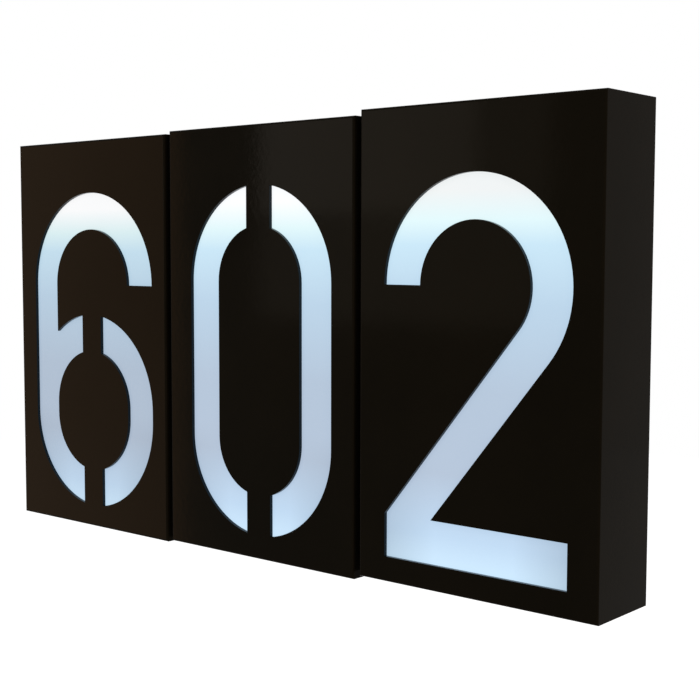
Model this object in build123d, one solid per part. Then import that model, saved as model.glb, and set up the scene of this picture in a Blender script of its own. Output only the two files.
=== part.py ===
from build123d import *
import os
from math import asin, atan2, cos, hypot, sin

# An illuminated house number: three black box modules side by side on one wall rail, each with
# a stencil-cut digit, 6, 0 and 2, that is lit from behind through an opal sheet.
#
# Every piece is made in wall coordinates, in millimetres: x to the right as seen from the
# street, y up, z out from the wall. The wall is z = 0, and the origin is the centre of the four
# wall screws. stand_up then turns the finished piece, so that its front looks along -Y.

# ------------------------------------------------------------------------- driving dimensions

# The three modules
module_height = 250.0
module_width = 146.0
cover_depth = 48.0
module_gap = 4.3
module_order = ("six", "zero", "two")
module_lift = {"six": -1.5, "zero": 0.0, "two": 2.8}       # how far each was set up or down

# Cover: folded sheet with its corners welded and ground square
cover_sheet = 2.0
cover_bend_radius = 1.2
cover_standoff = 0.5            # cover's rear edge to the rail's front

# Digits, cut through the cover's face
stroke = 23.4
digit_margin = 13.6             # from the face's lower edge to every digit's lowest point
stencil_bridge = 18.6
six_height = 203.0
six_radius = 58.8
six_centre_x = 1.6
six_bowl_straight = 7.0
zero_height = 202.4
zero_radius = 55.5
zero_centre_x = 1.5
two_height = 201.2
two_radius = 56.7
two_centre_x = 0.5
two_bar_left = -55.4
two_bar_right = 56.1

# Diffuser, its clamping frame, and the tabs that are bent over the frame
diffuser_thickness = 3.0
diffuser_edge_gap = 0.7
frame_thickness = 1.5
frame_edge_gap = 0.4            # from the diffuser's edge to the frame's edge
frame_side_width = 8.3
frame_end_width = 9.6
tab_sheet = 1.0
tab_width = 10.0
tab_reach = 6.0
tab_end_inset = 41.0            # from the cavity's end
tab_wall_gap = 0.5              # from the cover's side to a tab
tab_gap = 0.3                   # from a tab to the edges that are notched for it

# Back tray
tray_sheet = 1.5
tray_depth = 16.0
tray_side_gap = 0.5             # tray flange to the cover's inner wall
level_travel = 4.0              # how far a tray can be moved on its screws, up or down
tray_screw_inset = 29.5         # from the tray's side
slot_gap = 0.25

# Screws and nuts
tray_screw_radius = 2.5
tray_head_across_flats = 8.0
tray_head_height = 3.0
cover_screw_radius = 2.0
cover_screw_inset = 21.5        # from the tray's side
cover_screw_height = 15.5       # off the wall
cover_screw_length = 9.2
thread_gap = 0.05
cover_head_across_flats = 7.0
cover_head_height = 1.8
running_gap = 0.3               # between the cover and what it slides past
weld_nut_across_flats = 7.0
weld_nut_height = 4.0

# Drain slots in the lower edge
drain_width = 8.0
drain_depth = 4.0
drain_inset = 49.5              # from the tray's side
drain_front_height = 34.0
drain_tray_height = 13.0

# LED plate on its snap-in posts
plate_sheet = 1.0
plate_side_gap = 2.0            # to the tray's flanges
plate_end_gap = 3.0
plate_lip = 6.0
plate_height = 20.0             # its rear face, off the wall
post_across_flats = 7.0
post_neck = 3.0
post_head = 4.4
post_head_height = 1.4
post_side_inset = 10.0          # from the plate's side
post_end_inset = 33.0           # from the plate's end

# LED boards, stuck to the plate
board_side_inset = 3.0          # from the plate's side
board_end_inset = 8.0           # from the plate's end
board_height = 12.0
board_thickness = 1.6
led_size = 5.0
led_height = 1.6
led_count = 9
led_end_inset = 11.0            # middle of the last LED to the board's end
led_row_offset = 2.5            # LED row, outwards from the board's middle
connector_width = 8.0
connector_depth = 6.0
connector_height = 4.5
connector_overhang = 1.0

# Wall rail: one extrusion with two nut channels and a wire way between them
rail_inset = 16.3               # rail's end to the sign's end
rail_height = 84.0
rail_depth = 8.0
rail_web = 2.5
channel_centre = 20.0
channel_width = 12.0
channel_depth = 3.5
channel_mouth = 6.4
channel_wall = 2.0
rail_lip = 2.0
rail_nut_side = 11.0
rail_nut_height = 3.0
wall_hole_radius = 2.75
wall_hole_end_inset = 47.0      # from the rail's end
wall_hole_edge_inset = 8.0      # from the rail's long edge
cap_thickness = 3.0
cap_peg_length = 8.0
cap_peg_gap = 0.2

# Wiring
supply_bore_radius = 4.5
supply_hole_radius = 8.0
supply_flange_radius = 10.5
supply_flange_height = 2.0
supply_bush_side = 16.0         # its hole in the middle tray
supply_bush_bore = 12.0
lead_bush_side = 10.0           # its hole in a tray
lead_bush_bore = 6.0
bush_flange_width = 1.5
bush_flange_height = 1.5
grommet_seat_gap = 0.1
block_height = 16.0
block_depth = 9.0
block_centre = 30.0
block_poles = 5
block_pole_pitch = 10.4
block_groove_width = 1.0
block_groove_depth = 2.0
lead_width = 2.8                # flat twin wire
lead_thickness = 1.4
lead_bend_radius = 4.5
lead_height = 14.0              # off the wall, under the LED plate
lead_channel_height = 4.6       # off the wall, in the rail's wire way
lead_front_height = 25.0        # off the wall, where a lead meets its board
lead_rise_gap = 8.0             # from a board's edge to where its lead comes up
lower_lead_offset = -8.0
plate_hole_side = 7.0
jumper_offset = 22.0            # lead holes, from the middle of a module

# ------------------------------------------------------------------------------ worked-out sizes

module_pitch = module_width + module_gap
sign_width = len(module_order) * module_pitch - module_gap
rail_length = sign_width - 2 * rail_inset
wall_hole_half_span_x = rail_length / 2 - wall_hole_end_inset
wall_hole_half_span_y = rail_height / 2 - wall_hole_edge_inset

digit_base = digit_margin - module_height / 2

cover_rear = rail_depth + cover_standoff
cover_front = cover_rear + cover_depth
face_rear = cover_front - cover_sheet
cavity_width = module_width - 2 * cover_sheet
cavity_height = module_height - 2 * cover_sheet

diffuser_width = cavity_width - 2 * diffuser_edge_gap
diffuser_height = cavity_height - 2 * diffuser_edge_gap
diffuser_rear = face_rear - diffuser_thickness
frame_width = diffuser_width - 2 * frame_edge_gap
frame_height = diffuser_height - 2 * frame_edge_gap
frame_rear = diffuser_rear - frame_thickness
tab_leg_x = cavity_width / 2 - tab_wall_gap - tab_sheet / 2
tab_foot_x = cavity_width / 2 - tab_wall_gap - tab_reach / 2
tab_y = cavity_height / 2 - tab_end_inset
tab_notch_depth = tab_wall_gap + tab_sheet + tab_gap

tray_width = cavity_width - 2 * tray_side_gap
tray_height = cavity_height - 2 * tray_side_gap
tray_floor = rail_depth + tray_sheet
tray_screw_half_span = tray_width / 2 - tray_screw_inset
cover_screw_half_span = tray_width / 2 - cover_screw_inset
drain_half_span = tray_width / 2 - drain_inset
plate_front = plate_height + plate_sheet
plate_width = tray_width - 2 * tray_sheet - 2 * plate_side_gap
plate_length = tray_height - 2 * tray_sheet - 2 * plate_end_gap
post_half_width = plate_width / 2 - post_side_inset
post_half_height = plate_length / 2 - post_end_inset
board_width = plate_width - 2 * board_side_inset
board_centre = plate_length / 2 - board_end_inset - board_height / 2
board_front = plate_front + board_thickness
board_inner_edge = board_centre - board_height / 2
plate_hole_centre = board_inner_edge - lead_rise_gap
led_pitch = (board_width - 2 * led_end_inset) / (led_count - 1)
block_width = block_poles * block_pole_pitch
block_top = block_centre + block_height / 2
block_bottom = block_centre - block_height / 2
channel_floor = rail_web
channel_ceiling = rail_web + channel_depth

UPRIGHT = Rot(90, 0, 0)
ON_FLOOR = (Align.CENTER, Align.CENTER, Align.MIN)


def module_x(name):
    """Where the middle of a module is along the sign."""
    place = module_order.index(name) - (len(module_order) - 1) / 2
    return place * module_pitch


def at_module(name, height=0.0):
    """The middle of a module, at a height off the wall."""
    return Pos(module_x(name), module_lift[name], height)


def mirrored(x, y):
    """The four points that a symmetrical pattern of four makes."""
    return [(x, y), (-x, y), (-x, -y), (x, -y)]


def block(width, height, depth):
    """A plate or block that stands on its z = 0 face."""
    return Box(width, height, depth, align=ON_FLOOR)


def peg(radius, height):
    """A round peg that stands on its z = 0 face."""
    return Cylinder(radius, height, align=ON_FLOOR)


def hexagon(across_flats, height):
    """A hexagonal bar that stands on its z = 0 face."""
    return extrude(RegularPolygon(across_flats / 2, 6, major_radius=False), height)


# ------------------------------------------------------------------------------------- digits

def ring(radius, straight):
    """A stroke that runs round an upright stadium, or round a circle when straight is 0."""
    inner = radius - stroke
    if straight:
        whole = SlotCenterToCenter(straight, 2 * radius, rotation=90)
        return whole - SlotCenterToCenter(straight, 2 * inner, rotation=90)
    return Circle(radius) - Circle(inner)


def six_cut():
    """The 6: a half ring, a straight stem and a bowl, with the stencil bridges left standing."""
    bowl_centre = digit_base + six_radius + six_bowl_straight / 2
    six_top_centre = digit_base + six_height - six_radius
    bowl = Pos(0, bowl_centre) * ring(six_radius, six_bowl_straight)
    upper_half = Pos(0, six_top_centre + six_radius / 2) * Rectangle(2 * six_radius, six_radius)
    arch = Pos(0, six_top_centre) * ring(six_radius, 0) & upper_half
    stem_length = six_top_centre - bowl_centre
    stem_x = stroke / 2 - six_radius
    stem = Pos(stem_x, (six_top_centre + bowl_centre) / 2) * Rectangle(stroke, stem_length)
    bridge_height = 2 * six_radius + six_bowl_straight + stroke
    bridge = Pos(0, bowl_centre) * Rectangle(stencil_bridge, bridge_height)
    return Pos(six_centre_x, 0) * (bowl - bridge + arch + stem)


def zero_cut():
    """The 0: two half stadiums either side of the stencil bridges."""
    straight = zero_height - 2 * zero_radius
    bridge = Rectangle(stencil_bridge, zero_height + stroke)
    centre = digit_base + zero_height / 2
    return Pos(zero_centre_x, centre) * (ring(zero_radius, straight) - bridge)


def two_cut():
    """The 2: an arc, a diagonal that is tangent to it, and a bar along the bottom."""
    inner_radius = two_radius - stroke
    two_top_centre = digit_base + two_height - two_radius
    bar_top = digit_base + stroke
    across = two_centre_x - two_bar_left
    rise = two_top_centre - bar_top
    slope = atan2(rise, across) - asin(inner_radius / hypot(across, rise))
    normal = (sin(slope), -cos(slope))

    def on_arc(radius, direction):
        return (two_centre_x + radius * direction[0], two_top_centre + radius * direction[1])

    outer_tangent = on_arc(two_radius, normal)
    inner_tangent = on_arc(inner_radius, normal)
    diagonal_foot_x = outer_tangent[0] - (outer_tangent[1] - bar_top) * cos(slope) / sin(slope)
    outline = [
        ThreePointArc(on_arc(two_radius, (-1, 0)), on_arc(two_radius, (0, 1)), outer_tangent),
        Polyline(
            outer_tangent,
            (diagonal_foot_x, bar_top),
            (two_bar_right, bar_top),
            (two_bar_right, digit_base),
            (two_bar_left, digit_base),
            (two_bar_left, bar_top),
            inner_tangent,
        ),
        ThreePointArc(inner_tangent, on_arc(inner_radius, (0, 1)), on_arc(inner_radius, (-1, 0))),
        Line(on_arc(inner_radius, (-1, 0)), on_arc(two_radius, (-1, 0))),
    ]
    return make_face(outline)


def digit_cut(name):
    """The opening for one digit."""
    return {"six": six_cut, "zero": zero_cut, "two": two_cut}[name]()


# -------------------------------------------------------------------------- cover and diffuser

def drain_places(heights):
    """Middles of the drain slots, along the sign and off the wall."""
    return [(side * drain_half_span, height) for side in (-1, 1) for height in heights]


def lower_edge_slot(x, height, edge):
    """What is cut out of a lower edge that lies at y = edge to let water out."""
    return Pos(x, edge, height) * Box(drain_width, 2 * cover_sheet, drain_depth)


def lower_edge_hole(x, height, radius, edge):
    """A drill along y through a lower edge that lies at y = edge."""
    return Pos(x, edge, height) * Rot(90, 0, 0) * Cylinder(radius, 2 * cover_sheet)


def cover(name):
    """Folded box with the digit cut through its face and the bent tabs on the face's back."""
    body = Pos(0, 0, cover_rear) * block(module_width, module_height, cover_depth)
    front_edges = body.faces().sort_by(Axis.Z)[-1].edges()
    body = fillet(front_edges, cover_bend_radius)
    body -= Pos(0, 0, cover_rear) * block(cavity_width, cavity_height, cover_depth - cover_sheet)
    body -= Pos(0, 0, face_rear - cover_sheet) * extrude(digit_cut(name), 3 * cover_sheet)

    lower_edge = (cover_sheet - module_height) / 2
    slot_width = 2 * (cover_screw_radius + running_gap)
    slot_length = cover_screw_height - cover_rear
    for side in (-1, 1):
        x = side * cover_screw_half_span
        body -= lower_edge_hole(x, cover_screw_height, slot_width / 2, lower_edge)
        mouth = Box(slot_width, 2 * cover_sheet, 2 * slot_length)
        body -= Pos(x, lower_edge, cover_rear) * mouth
    for x, height in drain_places((drain_tray_height, drain_front_height)):
        body -= lower_edge_slot(x, height, lower_edge)

    foot_height = frame_rear - tab_sheet
    for x, y in mirrored(tab_leg_x, tab_y):
        body += Pos(x, y, foot_height) * block(tab_sheet, tab_width, face_rear - foot_height)
    for x, y in mirrored(tab_foot_x, tab_y):
        body += Pos(x, y, foot_height) * block(tab_reach, tab_width, tab_sheet)
    return at_module(name) * body


def tab_notches(thickness):
    """What is cut out of a sheet's long edges so that it clears the cover's tabs."""
    notch = block(2 * tab_notch_depth, tab_width + 2 * tab_gap, thickness)
    return [Pos(x, y) * notch for x, y in mirrored(cavity_width / 2, tab_y)]


def diffuser(name):
    """Opal sheet behind the face, notched to clear the tabs."""
    sheet = block(diffuser_width, diffuser_height, diffuser_thickness)
    sheet -= tab_notches(diffuser_thickness)
    return at_module(name, diffuser_rear) * sheet


def diffuser_frame(name):
    """Ring of sheet that clamps the diffuser's edge to the face, held by the cover's tabs."""
    sheet = block(frame_width, frame_height, frame_thickness)
    inner_width = frame_width - 2 * frame_side_width
    inner_height = frame_height - 2 * frame_end_width
    sheet -= block(inner_width, inner_height, frame_thickness)
    sheet -= tab_notches(frame_thickness)
    return at_module(name, frame_rear) * sheet


# ------------------------------------------------------------------------------------ back tray

def lead_hole_sides(name):
    """On which sides a module's tray is opened for a lead to its neighbour."""
    place = module_order.index(name)
    sides = []
    if place > 0:
        sides.append(-1)
    if place < len(module_order) - 1:
        sides.append(1)
    return sides


def middle_module():
    return module_order[len(module_order) // 2]


def tray_screw_places():
    """Two screws in each module, one in each of the rail's channels."""
    return [(-tray_screw_half_span, channel_centre), (tray_screw_half_span, -channel_centre)]


def back_tray(name):
    """Shallow pan that the cover slips over, with upright slots so that it can be levelled."""
    pan = block(tray_width, tray_height, tray_depth)
    hollow = block(tray_width - 2 * tray_sheet, tray_height - 2 * tray_sheet, tray_depth)
    pan -= Pos(0, 0, tray_sheet) * hollow

    slot = SlotCenterToCenter(2 * level_travel, 2 * (tray_screw_radius + slot_gap), rotation=90)
    for x, y in tray_screw_places():
        pan -= Pos(x, y) * extrude(slot, tray_sheet)
    for side in lead_hole_sides(name):
        pan -= Pos(side * jumper_offset, 0) * block(lead_bush_side, lead_bush_side, tray_sheet)
    if name == middle_module():
        pan -= block(supply_bush_side, supply_bush_side, tray_sheet)
    for x, height in drain_places((drain_tray_height - rail_depth,)):
        pan -= lower_edge_slot(x, height, (tray_sheet - tray_height) / 2)

    weld_nut = hexagon(weld_nut_across_flats, weld_nut_height)
    thread = peg(cover_screw_radius + thread_gap, weld_nut_height + tray_sheet)
    nut_top = tray_sheet + weld_nut_height - tray_height / 2
    for side in (-1, 1):
        axis = Pos(side * cover_screw_half_span, nut_top, cover_screw_height - rail_depth)
        pan += axis * Rot(90, 0, 0) * weld_nut
        pan -= axis * Rot(90, 0, 0) * thread
    return at_module(name, rail_depth) * pan


def hexagon_screw(radius, length, across_flats, head_height):
    """A screw that points down, with the underside of its hexagonal head on z = 0."""
    return hexagon(across_flats, head_height) + Pos(0, 0, -length) * peg(radius, length)


def cover_screws():
    """Low-headed screws, from below through the cover's open slots into the tray."""
    screw = hexagon_screw(
        cover_screw_radius, cover_screw_length, cover_head_across_flats, cover_head_height
    )
    head_rest = -module_height / 2 - running_gap
    placed = []
    for name in module_order:
        for side in (-1, 1):
            axis = Pos(side * cover_screw_half_span, head_rest, cover_screw_height)
            placed.append(at_module(name) * axis * Rot(90, 0, 0) * screw)
    return placed


# ---------------------------------------------------------------------- LED plate and LED boards

def plate_lead_holes():
    """Where the two leads come up through the LED plate."""
    return [(0.0, plate_hole_centre), (lower_lead_offset, -plate_hole_centre)]


def led_plate(name):
    """White sheet that carries the LED boards and throws their light forward."""
    plate = block(plate_width, plate_length, plate_sheet)
    lip = Box(plate_sheet, plate_length, plate_lip, align=(Align.CENTER, Align.CENTER, Align.MAX))
    for side in (-1, 1):
        plate += Pos(side * (plate_width - plate_sheet) / 2, 0) * lip
    neck_hole = block(post_neck + 2 * slot_gap, post_neck + 2 * slot_gap, plate_sheet)
    for x, y in mirrored(post_half_width, post_half_height):
        plate -= Pos(x, y) * neck_hole
    for x, y in plate_lead_holes():
        plate -= Pos(x, y) * block(plate_hole_side, plate_hole_side, plate_sheet)
    return at_module(name, plate_height) * plate


def plate_posts():
    """Moulded posts that stand on the trays and snap into the LED plates."""
    length = plate_height - tray_floor
    post = hexagon(post_across_flats, length)
    post += Pos(0, 0, length) * block(post_neck, post_neck, plate_sheet)
    post += Pos(0, 0, length + plate_sheet) * block(post_head, post_head, post_head_height)
    placed = []
    for name in module_order:
        for x, y in mirrored(post_half_width, post_half_height):
            placed.append(at_module(name, tray_floor) * Pos(x, y) * post)
    return placed


def led_boards(name):
    """One board along the top of a module and one along the bottom."""
    board = block(board_width, board_height, board_thickness)
    return [at_module(name, plate_front) * Pos(0, end * board_centre) * board for end in (-1, 1)]


def led_chips(name):
    """The LEDs: square packages in a row on each board."""
    row_y = board_centre + led_row_offset
    chip = block(led_size, led_size, led_height)
    placed = []
    for end in (-1, 1):
        for count in range(led_count):
            x = (count - (led_count - 1) / 2) * led_pitch
            placed.append(at_module(name, board_front) * Pos(x, end * row_y) * chip)
    return placed


def board_connectors():
    """Small plug-in connectors on the inner edge of each board."""
    body = block(connector_width, connector_depth, connector_height)
    centre_y = board_inner_edge - connector_overhang + connector_depth / 2
    placed = []
    for name in module_order:
        for x, y in plate_lead_holes():
            end = 1 if y > 0 else -1
            placed.append(at_module(name, board_front) * Pos(x, end * centre_y) * body)
    return placed


# ---------------------------------------------------------------------------------------- wiring

def terminal_block(name):
    """Terminals where the supply and the leads meet."""
    body = block(block_width, block_height, block_depth)
    groove = block(block_groove_width, block_height, block_groove_depth)
    for count in range(block_poles - 1):
        x = (count - (block_poles - 2) / 2) * block_pole_pitch
        body -= Pos(x, 0, block_depth - block_groove_depth) * groove
    return at_module(name, tray_floor) * Pos(0, block_centre) * body


def lead(points):
    """Flat twin wire through the given points, that starts with its wide side along x."""
    path = FilletPolyline(*points, radius=lead_bend_radius)
    start = Plane(path @ 0, x_dir=(1, 0, 0), z_dir=path % 0)
    return sweep(start * Rectangle(lead_width, lead_thickness), path=path)


def led_leads(name):
    """A lead to the upper board and one to the lower one."""
    centre_x = module_x(name)
    lift = module_lift[name]
    meet = board_inner_edge - connector_overhang
    leads = []
    for x, y in plate_lead_holes():
        end = 1 if y > 0 else -1
        start = block_top if y > 0 else block_bottom
        leads.append(lead([
            (centre_x + x, lift + start, lead_height),
            (centre_x + x, lift + y, lead_height),
            (centre_x + x, lift + y, lead_front_height),
            (centre_x + x, lift + end * meet, lead_front_height),
        ]))
    return leads


def jumper_lead(left, right):
    """Lead from one module's terminals to the next one's, through the rail's wire way."""
    start_x = module_x(left) + jumper_offset
    end_x = module_x(right) - jumper_offset
    run_y = (module_lift[left] + module_lift[right]) / 2
    return lead([
        (start_x, module_lift[left] + block_bottom, lead_height),
        (start_x, run_y, lead_height),
        (start_x, run_y, lead_channel_height),
        (end_x, run_y, lead_channel_height),
        (end_x, run_y, lead_height),
        (end_x, module_lift[right] + block_bottom, lead_height),
    ])


def bush(hole_side, bore_side):
    """Square moulded bush that clips into a tray's square hole, with its flange on the front."""
    flange_side = hole_side + 2 * bush_flange_width
    collar_side = hole_side - 2 * grommet_seat_gap
    body = block(collar_side, collar_side, tray_sheet)
    body += Pos(0, 0, tray_sheet) * block(flange_side, flange_side, bush_flange_height)
    return body - block(bore_side, bore_side, tray_sheet + bush_flange_height)


def lead_bushes():
    """Bushes where the jumper leads pass through the trays."""
    placed = []
    for name in module_order:
        for side in lead_hole_sides(name):
            place = at_module(name, rail_depth) * Pos(side * jumper_offset, 0)
            placed.append(place * bush(lead_bush_side, lead_bush_bore))
    return placed


def supply_bush():
    """Bush where the supply passes through the middle tray, wide enough for levelling."""
    return at_module(middle_module(), rail_depth) * bush(supply_bush_side, supply_bush_bore)


def wall_grommet():
    """Round rubber grommet in the rail, where the supply comes out of the wall."""
    body = peg(supply_hole_radius - grommet_seat_gap, rail_web)
    body += Pos(0, 0, rail_web) * peg(supply_flange_radius, supply_flange_height)
    return body - peg(supply_bore_radius, rail_web + supply_flange_height)


# ------------------------------------------------------------------------------------- wall rail

def channel_section(side):
    """Section of one nut channel, with y up and z off the wall."""
    outer_width = channel_width + 2 * channel_wall
    outer_depth = rail_depth - rail_web
    outer = Rectangle(outer_width, outer_depth, align=(Align.CENTER, Align.MIN))
    cavity = Rectangle(channel_width, channel_depth, align=(Align.CENTER, Align.MIN))
    mouth = Rectangle(channel_mouth, outer_depth, align=(Align.CENTER, Align.MIN))
    return Pos(side * channel_centre, rail_web) * (outer - cavity - mouth)


def wall_rail():
    """Extruded rail: a web on the wall, edge lips, and two channels that hold square nuts."""
    section = Rectangle(rail_height, rail_web, align=(Align.CENTER, Align.MIN))
    for side in (-1, 1):
        section += channel_section(side)
        lip = Rectangle(rail_lip, rail_depth, align=(Align.CENTER, Align.MIN))
        section += Pos(side * (rail_height - rail_lip) / 2, 0) * lip
    end_plane = Plane(origin=(-rail_length / 2, 0, 0), x_dir=(0, 1, 0), z_dir=(1, 0, 0))
    rail = extrude(end_plane * section, rail_length)
    for x, y in mirrored(wall_hole_half_span_x, wall_hole_half_span_y):
        rail -= Pos(x, y) * peg(wall_hole_radius, rail_web)
    rail -= peg(supply_hole_radius, rail_web)
    return rail


def rail_end_cap(side):
    """Moulded cap with two pegs that push into the nut channels."""
    cap = Box(cap_thickness, rail_height, rail_depth, align=(Align.MIN, Align.CENTER, Align.MIN))
    for end in (-1, 1):
        peg_width = channel_width - 2 * cap_peg_gap
        peg_depth = channel_depth - 2 * cap_peg_gap
        tongue = Box(cap_peg_length, peg_width, peg_depth, align=(Align.MAX, Align.CENTER, Align.MIN))
        cap += Pos(0, end * channel_centre, channel_floor + cap_peg_gap) * tongue
    cap = Pos(rail_length / 2, 0, 0) * cap
    return cap if side > 0 else mirror(cap, Plane.YZ)


def rail_fixings(piece, height):
    """A piece at every tray screw. The screws stay with the rail when a tray is levelled."""
    placed = []
    for name in module_order:
        for x, y in tray_screw_places():
            placed.append(Pos(module_x(name) + x, y, height) * piece)
    return placed


def tray_screws():
    length = tray_floor - channel_ceiling + rail_nut_height
    screw = hexagon_screw(tray_screw_radius, length, tray_head_across_flats, tray_head_height)
    return rail_fixings(screw, tray_floor)


def rail_nuts():
    nut = block(rail_nut_side, rail_nut_side, rail_nut_height)
    nut -= peg(tray_screw_radius + thread_gap, rail_nut_height)
    return rail_fixings(nut, channel_ceiling - rail_nut_height)


# ---------------------------------------------------------------------------------------- output

def pieces():
    """Every node of the sign, as its name and its solid or solids."""
    made = {"wall_rail": wall_rail()}
    made["rail_end_cap_left"] = rail_end_cap(-1)
    made["rail_end_cap_right"] = rail_end_cap(1)
    made["rail_nuts"] = rail_nuts()
    made["tray_screws"] = tray_screws()
    for name in module_order:
        made["cover_" + name] = cover(name)
        made["diffuser_" + name] = diffuser(name)
        made["diffuser_frame_" + name] = diffuser_frame(name)
        made["back_tray_" + name] = back_tray(name)
        made["led_plate_" + name] = led_plate(name)
        made["led_boards_" + name] = led_boards(name)
        made["led_chips_" + name] = led_chips(name)
        made["terminal_block_" + name] = terminal_block(name)
        made["led_leads_" + name] = led_leads(name)
    made["cover_screws"] = cover_screws()
    made["plate_posts"] = plate_posts()
    made["board_connectors"] = board_connectors()
    made["jumper_lead_left"] = jumper_lead(*module_order[:2])
    made["jumper_lead_right"] = jumper_lead(*module_order[1:])
    made["lead_bushes"] = lead_bushes()
    made["supply_bush"] = supply_bush()
    made["wall_grommet"] = wall_grommet()
    return made


def stand_up(made):
    """Turn a piece, or a group of loose ones, from wall coordinates to upright."""
    if isinstance(made, list):
        return Compound([UPRIGHT * solid for piece in made for solid in piece.solids()])
    return UPRIGHT * made


os.makedirs("parts", exist_ok=True)
for node, made in pieces().items():
    export_step(stand_up(made), os.path.join("parts", node + ".step"))
    print(node)
print("bend radius of every lead:", lead_bend_radius, "lead thickness:", lead_thickness)
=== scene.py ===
import math

import bmesh
import bpy
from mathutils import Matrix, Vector


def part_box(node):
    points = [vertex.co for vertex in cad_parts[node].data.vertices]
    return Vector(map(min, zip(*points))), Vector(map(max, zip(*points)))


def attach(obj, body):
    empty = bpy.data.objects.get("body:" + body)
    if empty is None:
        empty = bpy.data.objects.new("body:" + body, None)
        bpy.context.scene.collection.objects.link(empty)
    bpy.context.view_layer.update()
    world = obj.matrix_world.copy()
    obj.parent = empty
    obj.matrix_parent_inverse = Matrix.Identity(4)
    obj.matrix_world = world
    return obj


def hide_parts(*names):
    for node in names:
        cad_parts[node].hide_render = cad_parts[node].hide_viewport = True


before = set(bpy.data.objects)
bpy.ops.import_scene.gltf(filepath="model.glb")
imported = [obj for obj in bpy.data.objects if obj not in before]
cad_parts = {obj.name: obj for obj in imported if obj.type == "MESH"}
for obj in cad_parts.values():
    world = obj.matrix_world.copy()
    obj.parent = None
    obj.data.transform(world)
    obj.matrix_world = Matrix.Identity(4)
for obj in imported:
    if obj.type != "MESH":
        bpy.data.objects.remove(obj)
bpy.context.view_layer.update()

# All lengths are in metres.
MODULES = ("six", "zero", "two")
COVER_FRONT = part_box("cover_zero")[0].y

# From a cover's middle, further than its digit goes and less far than its folded edges
DIGIT_REACH_X = 0.068
DIGIT_REACH_Z = 0.118
# Behind the face, a little more than the sheet's 2 mm
CUT_DEPTH = 0.0021

LED_SIDE = 0.005
LED_PITCH = 0.01325

# The hole for a flat twin lead, across its wide and its narrow side
LEAD_HOLE = (0.0034, 0.0020)

# Turns that tip what points up to the front and to the back
TO_FRONT = (math.pi / 2, 0.0, 0.0)
TO_BACK = (-math.pi / 2, 0.0, 0.0)

# How bright the painted glow of each opal sheet is, and the colour of its nearly white top
GLOW_LEVEL = {"six": 0.89, "zero": 1.0, "two": 1.02}
TOP_LIGHT = {"six": (1.0, 1.0, 1.0), "zero": (0.94, 0.95, 0.96), "two": (0.81, 0.83, 0.82)}


def middle_of(node):
    low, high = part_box(node)
    return (low + high) / 2


def deselect_all():
    bpy.ops.object.select_all(action="DESELECT")


# --- shader helpers

def plug(value, socket):
    """Links a socket to an input, or sets the input to a plain value."""
    if isinstance(value, bpy.types.NodeSocket):
        socket.id_data.links.new(value, socket)
    elif socket.type == "RGBA":
        socket.default_value = (*value, 1.0)
    else:
        socket.default_value = value


def feed(node, **inputs):
    """Plugs a node's inputs by their names, with _ for each space."""
    for label, value in inputs.items():
        plug(value, node.inputs[label.replace("_", " ")])


def new_material(name):
    material = bpy.data.materials.new(name)
    material.use_nodes = True
    tree = material.node_tree
    return material, tree, tree.nodes["Principled BSDF"]


def math_node(tree, operation, *operands):
    node = tree.nodes.new("ShaderNodeMath")
    node.operation = operation
    for operand, socket in zip(operands, node.inputs):
        plug(operand, socket)
    return node.outputs[0]


def between(tree, value, low, high):
    """A socket that runs from low to high as value runs from 0 to 1."""
    return math_node(tree, "MULTIPLY_ADD", value, high - low, low)


def distance(tree, value, middle):
    return math_node(tree, "ABSOLUTE", math_node(tree, "SUBTRACT", value, middle))


def all_below(tree, *tests):
    """1 where every value is below its limit, 0 elsewhere."""
    mask = None
    for value, limit in tests:
        below = math_node(tree, "LESS_THAN", value, limit)
        mask = below if mask is None else math_node(tree, "MULTIPLY", mask, below)
    return mask


def stretched(tree, value, low, high, top=1.0):
    """A socket that runs from 0 to top as value runs from low to high, and no further."""
    node = tree.nodes.new("ShaderNodeMapRange")
    feed(node, Value=value, From_Min=low, From_Max=high, To_Max=top)
    return node.outputs["Result"]


def object_coordinates(tree):
    return tree.nodes.new("ShaderNodeTexCoord").outputs["Object"]


def split(tree, vector):
    """A vector's X, Y and Z."""
    node = tree.nodes.new("ShaderNodeSeparateXYZ")
    feed(node, Vector=vector)
    return node.outputs


def noise(tree, scale, detail=2.0, roughness=0.55, vector=None):
    """Noise over the piece, or over another vector than its coordinates."""
    if vector is None:
        vector = object_coordinates(tree)
    node = tree.nodes.new("ShaderNodeTexNoise")
    feed(node, Vector=vector, Scale=scale, Detail=detail, Roughness=roughness)
    return node.outputs["Fac"]


def mix_colour(tree, factor, first, second):
    node = tree.nodes.new("ShaderNodeMix")
    node.data_type = "RGBA"
    for slot, value in ((0, factor), (6, first), (7, second)):
        plug(value, node.inputs[slot])
    return node.outputs[2]


def ramp(tree, value, stops):
    node = tree.nodes.new("ShaderNodeValToRGB")
    elements = node.color_ramp.elements
    while len(elements) < len(stops):
        elements.new(0.5)
    for element, (place, colour) in zip(elements, stops):
        element.position = place
        element.color = (*colour, 1.0)
    feed(node, Fac=value)
    return node.outputs["Color"]


def bump(tree, height, depth):
    node = tree.nodes.new("ShaderNodeBump")
    feed(node, Height=height, Distance=depth, Strength=1.0)
    return node.outputs["Normal"]


def seen_directly(tree):
    """1 for what the camera, a gloss or a glass sees, 0 for what only gives light."""
    path = tree.nodes.new("ShaderNodeLightPath").outputs
    seen = math_node(tree, "MAXIMUM", path["Is Camera Ray"], path["Is Glossy Ray"])
    return math_node(tree, "MAXIMUM", seen, path["Is Transmission Ray"])


# --- effects that several finishes share

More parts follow.
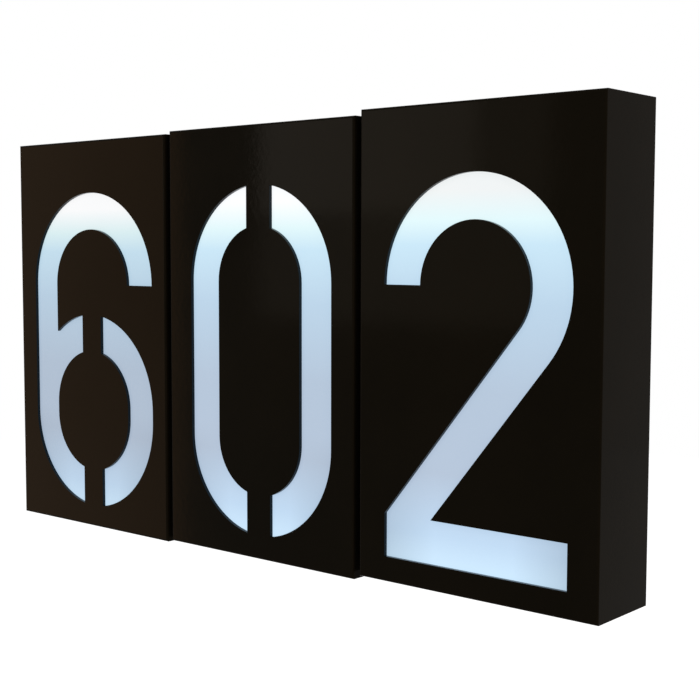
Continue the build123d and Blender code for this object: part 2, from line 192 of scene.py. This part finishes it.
def new_group(name, inputs, output):
    """A group with named inputs, each with its kind, and one float output."""
    group = bpy.data.node_groups.new(name, "ShaderNodeTree")
    for label, kind in inputs.items():
        group.interface.new_socket(name=label, in_out="INPUT", socket_type="NodeSocket" + kind)
    group.interface.new_socket(name=output, in_out="OUTPUT", socket_type="NodeSocketFloat")
    start = group.nodes.new("NodeGroupInput")
    end = group.nodes.new("NodeGroupOutput")
    return group, start.outputs, end


def placed(tree, group, **values):
    """The output of a group that stands in a material with its own values."""
    node = tree.nodes.new("ShaderNodeGroup")
    node.node_tree = group
    feed(node, **values)
    return node.outputs[0]


def make_orange_peel():
    """The soft ripple of a stoved coat, and the fine tooth on top of it."""
    group, given, end = new_group("orange_peel", {"Size": "Float", "Tooth": "Float"}, "Height")
    ripple = noise(group, given["Size"], 1.0, 0.5)
    fine = math_node(group, "MULTIPLY", noise(group, 6500.0), given["Tooth"])
    feed(end, Height=math_node(group, "ADD", ripple, fine))
    return group


def make_brushing():
    """Lines along the axis that is stretched least, or an even grain where all three are one."""
    group, given, end = new_group("brushing", {"Across": "Vector", "Depth": "Float"}, "Lines")
    stretch = group.nodes.new("ShaderNodeVectorMath")
    stretch.operation = "MULTIPLY"
    plug(object_coordinates(group), stretch.inputs[0])
    plug(given["Across"], stretch.inputs[1])
    lines = noise(group, 1.0, 4.0, 0.65, stretch.outputs[0])
    feed(end, Lines=math_node(group, "MULTIPLY", lines, given["Depth"]))
    return group


def make_handling():
    """Cloudy wear: where a surface was wiped, touched and rained on, from 0 to 1."""
    group, given, end = new_group("handling", {"Size": "Float"}, "Cloud")
    clouds = noise(group, given["Size"], 5.0, 0.6)
    feed(end, Cloud=stretched(group, clouds, 0.34, 0.66))
    return group


ORANGE_PEEL = make_orange_peel()
BRUSHING = make_brushing()
HANDLING = make_handling()


# --- finishes

def cut_wall_mask(tree, centre):
    """1 on the walls of the cut digit, 0 everywhere else on the cover."""
    place = split(tree, object_coordinates(tree))
    normal = split(tree, tree.nodes.new("ShaderNodeNewGeometry").outputs["True Normal"])
    most_turn_to_front = 0.3
    return all_below(
        tree,
        (distance(tree, place["X"], centre.x), DIGIT_REACH_X),
        (distance(tree, place["Z"], centre.z), DIGIT_REACH_Z),
        (place["Y"], COVER_FRONT + CUT_DEPTH),
        (math_node(tree, "ABSOLUTE", normal["Y"]), most_turn_to_front))


def gloss_black_coat(name, centre):
    """Stoved gloss black on steel, with a painted warm tint in its colour and its reflections.
    The digit's cut walls are painted dark teal, a painted reflection of the LED light, and have a
    clear coat that catches more light.
    """
    material, tree, shader = new_material("gloss_black_coat_" + name)
    cloud = placed(tree, HANDLING, Size=9.0)
    wall = cut_wall_mask(tree, centre)
    # Painted reflection: the black is tinted warm brown, and lighter in cloudy patches, to stand
    # in for warm surroundings seen in the gloss.
    black = mix_colour(tree, cloud, (0.0040, 0.0032, 0.0019), (0.0054, 0.0042, 0.0025))
    sheen = between(tree, cloud, 0.05, 0.09)
    peel = placed(tree, ORANGE_PEEL, Size=380.0, Tooth=0.12)
    # On the cut walls the base colour is a painted dark teal reflection of the LED light; the
    # coat there is real.
    feed(shader,
         Base_Color=mix_colour(tree, wall, black, (0.0015, 0.0065, 0.0120)),
         Roughness=math_node(tree, "MULTIPLY_ADD", wall, 0.15, sheen),
         Specular_IOR_Level=0.014,
         Specular_Tint=(1.0, 0.86, 0.66),
         Coat_Weight=wall,
         Coat_IOR=1.2,
         Coat_Roughness=0.18,
         Normal=bump(tree, peel, 0.000012))
    return material


def lit_opal(name, centre, half_height):
    """Opal acrylic with the LED rows behind it. Their light through the sheet is painted on as
    emission: bright by the rows, dimmer and bluer between.
    """
    material, tree, shader = new_material("lit_opal_" + name)
    place = split(tree, object_coordinates(tree))
    rise = stretched(tree, place["Z"], centre.z - half_height, centre.z + half_height)
    glow = ramp(tree, rise, [
        (0.05, (0.56, 0.76, 0.94)),
        (0.11, (0.47, 0.64, 0.83)),
        (0.24, (0.39, 0.48, 0.61)),
        (0.42, (0.39, 0.49, 0.62)),
        (0.60, (0.43, 0.59, 0.74)),
        (0.72, (0.52, 0.73, 0.86)),
        (0.77, (0.70, 0.88, 0.90)),
        (0.83, TOP_LIGHT[name]),
    ])
    # The painted glow is dimmer and bluer in patches, and the same noise varies the sheet's own
    # grey.
    patch = noise(tree, 22.0)
    uneven = math_node(tree, "MULTIPLY", patch, 0.12)
    glow = mix_colour(tree, uneven, glow, (0.36, 0.47, 0.62))
    # The painted glow is darkened at the foot towards both sides, a painted shade where fewer
    # LEDs are near.
    sides = stretched(tree, distance(tree, place["X"], centre.x), 0.024, 0.060, 0.30)
    foot = stretched(tree, rise, 0.30, 0.10)
    corners = math_node(tree, "MULTIPLY", sides, foot)
    grain = noise(tree, 900.0)
    feed(shader,
         Base_Color=mix_colour(tree, patch, (0.08, 0.09, 0.10), (0.11, 0.12, 0.13)),
         Roughness=between(tree, grain, 0.22, 0.34),
         Specular_IOR_Level=0.03,
         Emission_Color=mix_colour(tree, corners, glow, (0.0, 0.0, 0.0)),
         Emission_Strength=GLOW_LEVEL[name],
         Normal=bump(tree, grain, 0.000006))
    return material


def tumbled_steel(name, colour, dull):
    """Bright fasteners: the fine even grain of tumbling, and cloudy handling marks."""
    material, tree, shader = new_material(name)
    grain = placed(tree, BRUSHING, Across=(900.0, 900.0, 900.0), Depth=1.0)
    cloud = placed(tree, HANDLING, Size=60.0)
    feed(shader,
         Base_Color=mix_colour(tree, cloud, colour, dull),
         Metallic=1.0,
         Roughness=math_node(tree, "MULTIPLY_ADD", grain, 0.22, 0.22),
         Normal=bump(tree, grain, 0.000010))
    return material


def zinc_plate(name, colour, dull, grain):
    """Galvanised steel: crystals that each catch the light their own way, under a bloom."""
    material, tree, shader = new_material(name)
    crystals = tree.nodes.new("ShaderNodeTexVoronoi")
    feed(crystals, Vector=object_coordinates(tree), Scale=grain)
    tone = tree.nodes.new("ShaderNodeSeparateColor")
    feed(tone, Color=crystals.outputs["Color"])
    cloud = placed(tree, HANDLING, Size=18.0)
    fern = noise(tree, grain * 9.0, 3.0, 0.7)
    bloom = math_node(tree, "MULTIPLY", cloud, 0.25)
    spangle = math_node(tree, "MULTIPLY_ADD", tone.outputs["Red"], 0.55, bloom)
    spangle = math_node(tree, "MULTIPLY_ADD", fern, 0.35, spangle)
    facets = math_node(tree, "MULTIPLY_ADD", fern, 0.5, crystals.outputs["Distance"])
    feed(shader,
         Base_Color=mix_colour(tree, spangle, colour, dull),
         Metallic=0.9,
         Roughness=between(tree, tone.outputs["Green"], 0.26, 0.52),
         Normal=bump(tree, facets, 0.00004))
    return material


def drawn_extrusion(name, colour, dull):
    """Satin anodised aluminium: die lines along the length, broad bands and fine scratches."""
    material, tree, shader = new_material(name)
    scratches = placed(tree, BRUSHING, Across=(3.0, 2400.0, 2400.0), Depth=0.5)
    bands = placed(tree, BRUSHING, Across=(1.0, 260.0, 260.0), Depth=0.5)
    lines = math_node(tree, "ADD", scratches, bands)
    strong = stretched(tree, lines, 0.36, 0.64)
    feed(shader,
         Base_Color=mix_colour(tree, strong, colour, dull),
         Metallic=1.0,
         Roughness=between(tree, strong, 0.30, 0.46),
         Normal=bump(tree, lines, 0.00003))
    return material


def printed_board(name, centre, row_height):
    """White solder mask, a track along the LEDs and three tinned pads at each LED's sides."""
    material, tree, shader = new_material("printed_board_" + name)
    pad_pitch = 0.0016
    pad_half_share = 0.30
    pads_reach_x, pads_reach_z = 0.0032, 0.0023
    track_half_width = 0.0010
    place = split(tree, object_coordinates(tree))
    led_count = math_node(
        tree, "MULTIPLY_ADD", place["X"], 1 / LED_PITCH, 0.5 - centre.x / LED_PITCH)
    from_led = distance(tree, math_node(tree, "FRACT", led_count), 0.5)
    above_row = math_node(
        tree, "SUBTRACT", distance(tree, place["Z"], centre.z), row_height)
    pad_count = math_node(tree, "MULTIPLY_ADD", above_row, 1 / pad_pitch, 0.5)
    from_pad = distance(tree, math_node(tree, "FRACT", pad_count), 0.5)
    off_row = math_node(tree, "ABSOLUTE", above_row)
    pads = all_below(
        tree, (from_pad, pad_half_share), (off_row, pads_reach_z),
        (from_led, pads_reach_x / LED_PITCH))
    track = math_node(tree, "LESS_THAN", off_row, track_half_width)
    cloud = placed(tree, HANDLING, Size=60.0)
    mask = mix_colour(tree, cloud, (0.78, 0.80, 0.78), (0.70, 0.73, 0.70))
    mask = mix_colour(tree, track, mask, (0.84, 0.85, 0.82))
    feed(shader,
         Base_Color=mix_colour(tree, pads, mask, (0.66, 0.65, 0.62)),
         Metallic=pads,
         Roughness=between(tree, pads, 0.38, 0.24),
         Normal=bump(tree, math_node(tree, "ADD", track, pads), 0.00005))
    return material


def lit_phosphor(name, colour, shade):
    """The LED's window: silicone full of phosphor, grainy, and glowing a little."""
    material, tree, shader = new_material(name)
    grain = noise(tree, 9000.0)
    feed(shader,
         Base_Color=mix_colour(tree, grain, colour, shade),
         Roughness=between(tree, grain, 0.18, 0.30),
         Emission_Color=mix_colour(tree, grain, (1.0, 0.95, 0.78), (1.0, 0.88, 0.55)),
         Emission_Strength=0.35,
         Normal=bump(tree, grain, 0.00001))
    return material


def fine_paint(name, colour, shade, roughness=0.42):
    """Thin matt paint or solder mask, with a faint ripple and specks of dust."""
    material, tree, shader = new_material(name)
    cloud = placed(tree, HANDLING, Size=26.0)
    peel = placed(tree, ORANGE_PEEL, Size=900.0, Tooth=0.3)
    feed(shader,
         Base_Color=mix_colour(tree, cloud, colour, shade),
         Roughness=between(tree, cloud, roughness, roughness + 0.12),
         Normal=bump(tree, peel, 0.00001))
    return material


def spark_grained_plastic(name, colour, shade, grain=2600.0, roughness=0.5):
    """Moulded plastic with the fine grain of an eroded tool."""
    material, tree, shader = new_material(name)
    grainy = noise(tree, grain)
    cloud = placed(tree, HANDLING, Size=40.0)
    feed(shader,
         Base_Color=mix_colour(tree, cloud, colour, shade),
         Roughness=between(tree, grainy, roughness - 0.06, roughness + 0.1),
         Normal=bump(tree, grainy, 0.00003))
    return material


def soft_rubber(name, colour, bloom):
    """Moulded rubber or soft wire insulation, with a pale bloom in patches."""
    material, tree, shader = new_material(name)
    cloud = placed(tree, HANDLING, Size=70.0)
    feed(shader,
         Base_Color=mix_colour(tree, cloud, colour, bloom),
         Roughness=between(tree, cloud, 0.55, 0.72),
         Specular_IOR_Level=0.35,
         Normal=bump(tree, noise(tree, 3800.0), 0.00002))
    return material


def paint(node, material):
    """Gives a CAD node its finish."""
    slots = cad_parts[node].data.materials
    slots.clear()
    slots.append(material)


# --- modelling helpers

def solid_boxes(node):
    """The lowest and highest corner of each separate solid in a CAD node."""
    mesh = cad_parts[node].data
    corners = [tuple(round(value, 6) for value in vertex.co) for vertex in mesh.vertices]
    leader = {corner: corner for corner in corners}

    def lead_of(corner):
        while leader[corner] != corner:
            corner = leader[corner]
        return corner

    for polygon in mesh.polygons:
        first, *others = [lead_of(corners[index]) for index in polygon.vertices]
        for other in others:
            leader[lead_of(other)] = lead_of(first)
    boxes = {}
    for corner in leader:
        low, high = boxes.setdefault(lead_of(corner), (Vector(corner), Vector(corner)))
        for axis in range(3):
            low[axis] = min(low[axis], corner[axis])
            high[axis] = max(high[axis], corner[axis])
    return sorted(boxes.values(), key=lambda box: tuple(box[0]))


def middles(node):
    return [(low + high) / 2 for low, high in solid_boxes(node)]


def choose(piece):
    """Selects one piece alone and makes it the active one."""
    deselect_all()
    piece.select_set(True)
    bpy.context.view_layer.objects.active = piece


def settle(piece):
    """Puts a piece's place, turn and size into its mesh."""
    choose(piece)
    bpy.ops.object.transform_apply(location=True, rotation=True, scale=True)
    return piece


def cuboid(size, middle=(0.0, 0.0, 0.0)):
    bpy.ops.mesh.primitive_cube_add(size=1.0, location=middle)
    piece = bpy.context.active_object
    piece.scale = size
    return settle(piece)


def rod(radius, depth, middle, turn=(0.0, 0.0, 0.0), sides=32):
    bpy.ops.mesh.primitive_cylinder_add(
        vertices=sides, radius=radius, depth=depth, location=middle, rotation=turn)
    return settle(bpy.context.active_object)


def pick_faces(piece, wanted):
    """Edit mode, with only the wanted faces selected."""
    choose(piece)
    bpy.ops.object.mode_set(mode="EDIT")
    bpy.ops.mesh.select_mode(type="FACE")
    bpy.ops.mesh.select_all(action="DESELECT")
    mesh = bmesh.from_edit_mesh(piece.data)
    for face in mesh.faces:
        if wanted(face):
            face.select_set(True)
    bmesh.update_edit_mesh(piece.data)


def faces_front(face):
    return face.normal.y < -0.99


def faces_up(face):
    return face.normal.z > 0.99


def pull_out(move):
    """Extrudes the selected faces."""
    bpy.ops.mesh.extrude_region_move(TRANSFORM_OT_translate={"value": move})


def leave_edit():
    bpy.ops.object.mode_set(mode="OBJECT")


def soften(piece, width, segments=1):
    """Breaks every sharp edge of a piece."""
    choose(piece)
    edge = piece.modifiers.new("soften", "BEVEL")
    edge.width = width
    edge.segments = segments
    edge.limit_method = "ANGLE"
    bpy.ops.object.modifier_apply(modifier=edge.name)
    return piece


def cut(piece, cutter, operation="DIFFERENCE"):
    choose(piece)
    tool = piece.modifiers.new("cut", "BOOLEAN")
    tool.operation = operation
    tool.solver = "EXACT"
    tool.object = cutter
    bpy.ops.object.modifier_apply(modifier=tool.name)
    bpy.data.objects.remove(cutter)
    return piece


def joined(pieces, name):
    choose(pieces[0])
    for piece in pieces[1:]:
        piece.select_set(True)
    bpy.ops.object.join()
    whole = bpy.context.active_object
    whole.name = name
    return settle(whole)


def copies(piece, places):
    """The piece moved to the first place and its copies to the others, each with its own mesh."""
    made = [piece]
    for _ in places[1:]:
        twin = piece.copy()
        twin.data = piece.data.copy()
        bpy.context.collection.objects.link(twin)
        made.append(twin)
    for twin, place in zip(made, places):
        twin.location = place
    return made


# --- pieces that show what the plain CAD solids leave out

def stand_for(piece, node):
    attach(piece, "root")
    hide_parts(node)


def add_led_packages(name, package, phosphor):
    """Square LED packages: a chamfered white body and a sunk window with rounded corners."""
    chamfer = 0.00025
    rim = 0.0004
    window_corner = 0.0012
    window_depth = 0.00018
    least_window = 0.000008  # square metres, more than a side of the rim
    low, high = solid_boxes("led_chips_" + name)[0]
    chip = soften(cuboid((LED_SIDE, high.y - low.y, LED_SIDE)), chamfer)
    chip.data.materials.append(package)
    chip.data.materials.append(phosphor)
    pick_faces(chip, faces_front)
    bpy.ops.mesh.inset(thickness=rim)
    bpy.ops.mesh.select_mode(type="VERT")
    bpy.ops.mesh.bevel(offset=window_corner, segments=4, affect="VERTICES")
    leave_edit()
    pick_faces(chip, lambda face: faces_front(face) and face.calc_area() > least_window)
    pull_out((0.0, window_depth, 0.0))
    chip.active_material_index = 1
    bpy.ops.object.material_slot_assign()
    leave_edit()
    row = joined(copies(chip, middles("led_chips_" + name)), "led_packages_" + name)
    stand_for(row, "led_chips_" + name)


def add_terminal_block(name, body_finish, screw_finish):
    """Five poles, each with two sunk clamping screws and a wire entry above and below."""
    pole_count = 5
    pole_edge, screw_edge = 0.0005, 0.00008
    groove_width, groove_depth = 0.001, 0.002
    screw_height = 0.0042
    well_radius, well_length = 0.0023, 0.006
    entry_length = 0.004
    screw_radius, screw_length, screw_depth = 0.0020, 0.0022, 0.0022
    slot_size, slot_depth = (0.0007, 0.0012, 0.005), 0.0011
    low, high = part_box("terminal_block_" + name)
    size = high - low
    face = -size.y / 2
    pitch = size.x / pole_count
    base = cuboid((size.x, size.y - groove_depth, size.z), (0.0, groove_depth / 2, 0.0))
    pole = soften(cuboid((pitch - groove_width, size.y, size.z)), pole_edge, 2)
    screws = []
    for end in (-1, 1):
        height = end * screw_height
        well = rod(well_radius, well_length, (0.0, face, height), TO_FRONT)
        entry = cuboid((*LEAD_HOLE, entry_length), (0.0, 0.0, end * size.z / 2))
        pole = cut(cut(pole, well), entry)
        screw = rod(screw_radius, screw_length, (0.0, face + screw_depth, height), TO_FRONT)
        slot = cuboid(slot_size, (0.0, face + slot_depth, height))
        screws.append(soften(cut(screw, slot), screw_edge))
    for piece in (base, pole):
        piece.data.materials.append(body_finish)
    for screw in screws:
        screw.data.materials.append(screw_finish)
    pole = joined([pole] + screws, "pole")
    places = [((count - (pole_count - 1) / 2) * pitch, 0.0, 0.0) for count in range(pole_count)]
    block = joined([base] + copies(pole, places), "terminals_" + name)
    block.location = (low + high) / 2
    stand_for(settle(block), "terminal_block_" + name)


def add_board_connectors(finish):
    """Plug housings: a mouth round the lead at each end, latch windows and side grooves."""
    housing_edge = 0.0003
    mouth_length = 0.003
    window_size, window_x = (0.0012, 0.0014, 0.0026), 0.0021
    side_groove = (0.0010, 0.0024, 0.0034)
    low, high = solid_boxes("board_connectors")[0]
    size = high - low
    housing = soften(cuboid(size), housing_edge, 2)
    for end in (-1, 1):
        for cutter in (
                cuboid((*LEAD_HOLE, mouth_length), (0.0, 0.0, end * size.z / 2)),
                cuboid(window_size, (end * window_x, -size.y / 2, 0.0)),
                cuboid(side_groove, (end * size.x / 2, 0.0, 0.0))):
            housing = cut(housing, cutter)
    housing.data.materials.append(finish)
    stand_for(joined(copies(housing, middles("board_connectors")), "plug_housings"),
              "board_connectors")


def hexagon_head(flats, height):
    """A hexagon under z = 0 whose lower corners are turned off by a flat cone."""
    middle = (0.0, 0.0, -height / 2)
    hexagon = rod(flats / math.sqrt(3), height, middle, (0.0, 0.0, math.pi / 6), sides=6)
    turned_radius = flats * 0.475
    clear_of_faces = 1.001
    edge_break = 0.00006
    bpy.ops.mesh.primitive_cone_add(
        vertices=64, radius1=turned_radius, radius2=turned_radius + height * 2,
        depth=height * clear_of_faces, location=middle)
    hexagon = cut(hexagon, settle(bpy.context.active_object), "INTERSECT")
    return soften(hexagon, edge_break)


def shank_core(radius, length, tip):
    """The shank inside the thread, drawn in at its tip."""
    tip_share = 0.78
    straight = length - tip
    core = rod(radius, straight, (0.0, 0.0, straight / 2), sides=24)
    pick_faces(core, faces_up)
    pull_out((0.0, 0.0, tip))
    bpy.ops.transform.resize(
        value=(tip_share, tip_share, 1.0), center_override=(0.0, 0.0, length))
    leave_edit()
    return core


def thread_ridge(radius, length, pitch):
    """A triangle wound up the shank, closed at both ends."""
    steps_a_turn = 20
    bpy.ops.mesh.primitive_circle_add(
        vertices=3, radius=pitch / 2, rotation=(0.0, 0.0, -math.pi / 2))
    ridge = settle(bpy.context.active_object)
    ridge.rotation_euler = TO_FRONT
    ridge.location = (radius - pitch / 2, 0.0, -pitch / 2)
    settle(ridge)
    winding = ridge.modifiers.new("winding", "SCREW")
    winding.axis = "Z"
    winding.screw_offset = pitch
    winding.iterations = int(length / pitch)
    winding.steps = steps_a_turn
    winding.render_steps = steps_a_turn
    choose(ridge)
    bpy.ops.object.modifier_apply(modifier=winding.name)
    bpy.ops.object.mode_set(mode="EDIT")
    bpy.ops.mesh.select_all(action="SELECT")
    bpy.ops.mesh.fill_holes(sides=3)
    bpy.ops.mesh.select_all(action="SELECT")
    bpy.ops.mesh.normals_make_consistent(inside=False)
    leave_edit()
    return ridge


def threaded_screw(radius, length, flats, head, pitch):
    """A screw that points up from under z = 0: chamfered head, rolled thread, blunt tip."""
    thread_depth, tip = pitch * 0.55, pitch * 0.6
    hexagon = hexagon_head(flats, head)
    core = shank_core(radius - thread_depth, length, tip)
    return joined([hexagon, core, thread_ridge(radius, length, pitch)], "screw")


def cover_screw():
    return threaded_screw(radius=0.0020, length=0.0092, flats=0.0070, head=0.0018, pitch=0.0007)


def tray_screw():
    screw = threaded_screw(radius=0.0025, length=0.0065, flats=0.0080, head=0.0030, pitch=0.0008)
    screw.rotation_euler = TO_BACK
    return settle(screw)


def add_screws(node, screw, finish):
    """Copies of one screw, each in the box of its CAD solid."""
    screw.data.materials.append(finish)
    lowest, highest = Vector(screw.bound_box[0]), Vector(screw.bound_box[6])
    own_middle = (lowest + highest) / 2
    places = [middle - own_middle for middle in middles(node)]
    stand_for(joined(copies(screw, places), node + "_detailed"), node)


def dress_module(name, finishes):
    """One box: its own finishes, and those that it shares with the other two."""
    cover = middle_of("cover_" + name)
    sheet_low, sheet_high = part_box("diffuser_" + name)
    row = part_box("led_chips_" + name)[1].z - cover.z - LED_SIDE / 2
    paint("cover_" + name, gloss_black_coat(name, cover))
    paint("diffuser_" + name, lit_opal(name, cover, (sheet_high.z - sheet_low.z) / 2))
    paint("led_boards_" + name, printed_board(name, cover, row))
    for kind, finish in finishes.items():
        paint(kind + name, finish)


def dress_nodes():
    package = fine_paint("led_package", (0.80, 0.80, 0.77), (0.72, 0.72, 0.68), 0.30)
    phosphor = lit_phosphor("led_phosphor", (0.86, 0.74, 0.28), (0.78, 0.62, 0.16))
    nylon = spark_grained_plastic("natural_nylon", (0.76, 0.75, 0.69), (0.70, 0.68, 0.61))
    grey = spark_grained_plastic("grey_polyamide", (0.38, 0.39, 0.40), (0.33, 0.34, 0.35))
    black = spark_grained_plastic(
        "black_moulding", (0.022, 0.022, 0.022), (0.034, 0.033, 0.032))
    black_oxide = spark_grained_plastic(
        "black_oxide", (0.02, 0.02, 0.021), (0.03, 0.028, 0.026), 1800.0, 0.36)
    rubber = soft_rubber("grommet_rubber", (0.018, 0.018, 0.018), (0.04, 0.04, 0.038))
    black_lead = soft_rubber("black_lead", (0.025, 0.025, 0.025), (0.045, 0.045, 0.043))
    rail = drawn_extrusion("satin_extrusion", (0.56, 0.57, 0.58), (0.38, 0.39, 0.41))
    steel = tumbled_steel("stainless_steel", (0.62, 0.61, 0.60), (0.54, 0.53, 0.52))
    module_finishes = {
        "diffuser_frame_": zinc_plate(
            "galvanised_strip", (0.60, 0.60, 0.60), (0.40, 0.41, 0.42), 320.0),
        "back_tray_": zinc_plate(
            "galvanised_tray", (0.60, 0.61, 0.62), (0.33, 0.34, 0.36), 150.0),
        "led_plate_": fine_paint(
            "white_reflector_paint", (0.80, 0.80, 0.79), (0.74, 0.74, 0.72)),
        "led_leads_": soft_rubber("red_lead", (0.42, 0.025, 0.015), (0.34, 0.03, 0.02)),
    }
    for name in MODULES:
        dress_module(name, module_finishes)
        add_led_packages(name, package, phosphor)
        add_terminal_block(name, grey, steel)
    for node, finish in (
            ("wall_rail", rail), ("rail_nuts", steel), ("plate_posts", nylon),
            ("jumper_lead_left", black_lead), ("jumper_lead_right", black_lead),
            ("rail_end_cap_left", black), ("rail_end_cap_right", black),
            ("lead_bushes", black), ("supply_bush", black), ("wall_grommet", rubber)):
        paint(node, finish)
    add_screws("tray_screws", tray_screw(), steel)
    add_screws("cover_screws", cover_screw(), black_oxide)
    add_board_connectors(nylon)


# --- studio

def studio_white():
    """Pale surround: plain white to the camera and to gloss, a softer level as light."""
    world = bpy.data.worlds.new("studio")
    bpy.context.scene.world = world
    world.use_nodes = True
    tree = world.node_tree
    tree.nodes.clear()
    soft = tree.nodes.new("ShaderNodeBackground")
    feed(soft, Color=(0.95, 0.97, 1.0), Strength=0.45)
    white = tree.nodes.new("ShaderNodeBackground")
    feed(white, Color=(1.0, 1.0, 1.0), Strength=1.0)
    shown = tree.nodes.new("ShaderNodeMixShader")
    plug(seen_directly(tree), shown.inputs[0])
    plug(soft.outputs[0], shown.inputs[1])
    plug(white.outputs[0], shown.inputs[2])
    feed(tree.nodes.new("ShaderNodeOutputWorld"), Surface=shown.outputs[0])


def pale_floor():
    """A floor well below the sign, which hangs on no wall here. It is as pale as the surround."""
    bpy.ops.mesh.primitive_plane_add(size=14.0, location=(0.0, 0.0, -1.25))
    floor = bpy.context.active_object
    floor.name = "floor"
    material, tree, shader = new_material("pale_floor")
    feed(shader, Base_Color=(0.93, 0.93, 0.93), Roughness=0.9)
    glow = tree.nodes.new("ShaderNodeEmission")
    feed(glow, Strength=math_node(tree, "MULTIPLY", seen_directly(tree), 0.62))
    both = tree.nodes.new("ShaderNodeAddShader")
    plug(shader.outputs[0], both.inputs[0])
    plug(glow.outputs[0], both.inputs[1])
    feed(tree.nodes["Material Output"], Surface=both.outputs[0])
    floor.data.materials.append(material)


def soft_lamp(name, place, target, size, radiance, colour):
    """A softbox that the camera doesn't see. Its power follows from how bright its face is."""
    data = bpy.data.lights.new(name, "AREA")
    data.shape = "RECTANGLE"
    data.size, data.size_y = size
    data.energy = radiance * math.pi * size[0] * size[1]
    data.color = colour
    lamp = bpy.data.objects.new(name, data)
    bpy.context.collection.objects.link(lamp)
    lamp.location = place
    direction = Vector(target) - Vector(place)
    lamp.rotation_euler = direction.to_track_quat("-Z", "Y").to_euler()
    lamp.visible_camera = False


def studio_lamps():
    """Softboxes aimed at the sign, and three in front whose reflections tone its black faces."""
    sign = (0, 0, 0)
    soft_lamp("key_softbox", (3.0, -0.9, 1.3), sign, (1.4, 1.4),
              radiance=9.0, colour=(1.0, 0.78, 0.56))
    soft_lamp("top_softbox", (0.3, -1.6, 2.4), sign, (1.4, 1.0),
              radiance=4.0, colour=(1.0, 0.98, 0.95))
    soft_lamp("warm_softbox", (-2.09, -1.56, -0.12), (-2.09, 0, -0.12), (0.74, 1.3),
              radiance=2.7, colour=(1.0, 0.54, 0.24))
    soft_lamp("window_softbox", (-1.18, -1.56, 0.30), (-1.18, 0, 0.30), (0.57, 0.34),
              radiance=5.4, colour=(1.0, 0.97, 0.95))
    soft_lamp("wide_softbox", (-1.10, -1.56, 0.16), (-1.10, 0, 0.16), (0.73, 0.50),
              radiance=2.1, colour=(1.0, 0.97, 0.93))
    soft_lamp("rim_softbox", (2.0, 1.8, 1.1), sign, (1.2, 1.2),
              radiance=4.0, colour=(1.0, 1.0, 1.0))


def photo_camera():
    data = bpy.data.cameras.new("camera")
    data.sensor_width = 36.0
    data.lens = 66.781
    data.clip_start = 0.01
    data.clip_end = 60.0
    camera = bpy.data.objects.new("camera", data)
    bpy.context.collection.objects.link(camera)
    camera.location = (0.52134, -0.58751, 0.05380)
    camera.rotation_euler = (1.49402, -0.00231, 0.70406)
    bpy.context.scene.camera = camera


deselect_all()
dress_nodes()
studio_white()
pale_floor()
studio_lamps()
photo_camera()
bpy.context.scene.view_settings.view_transform = "Standard"
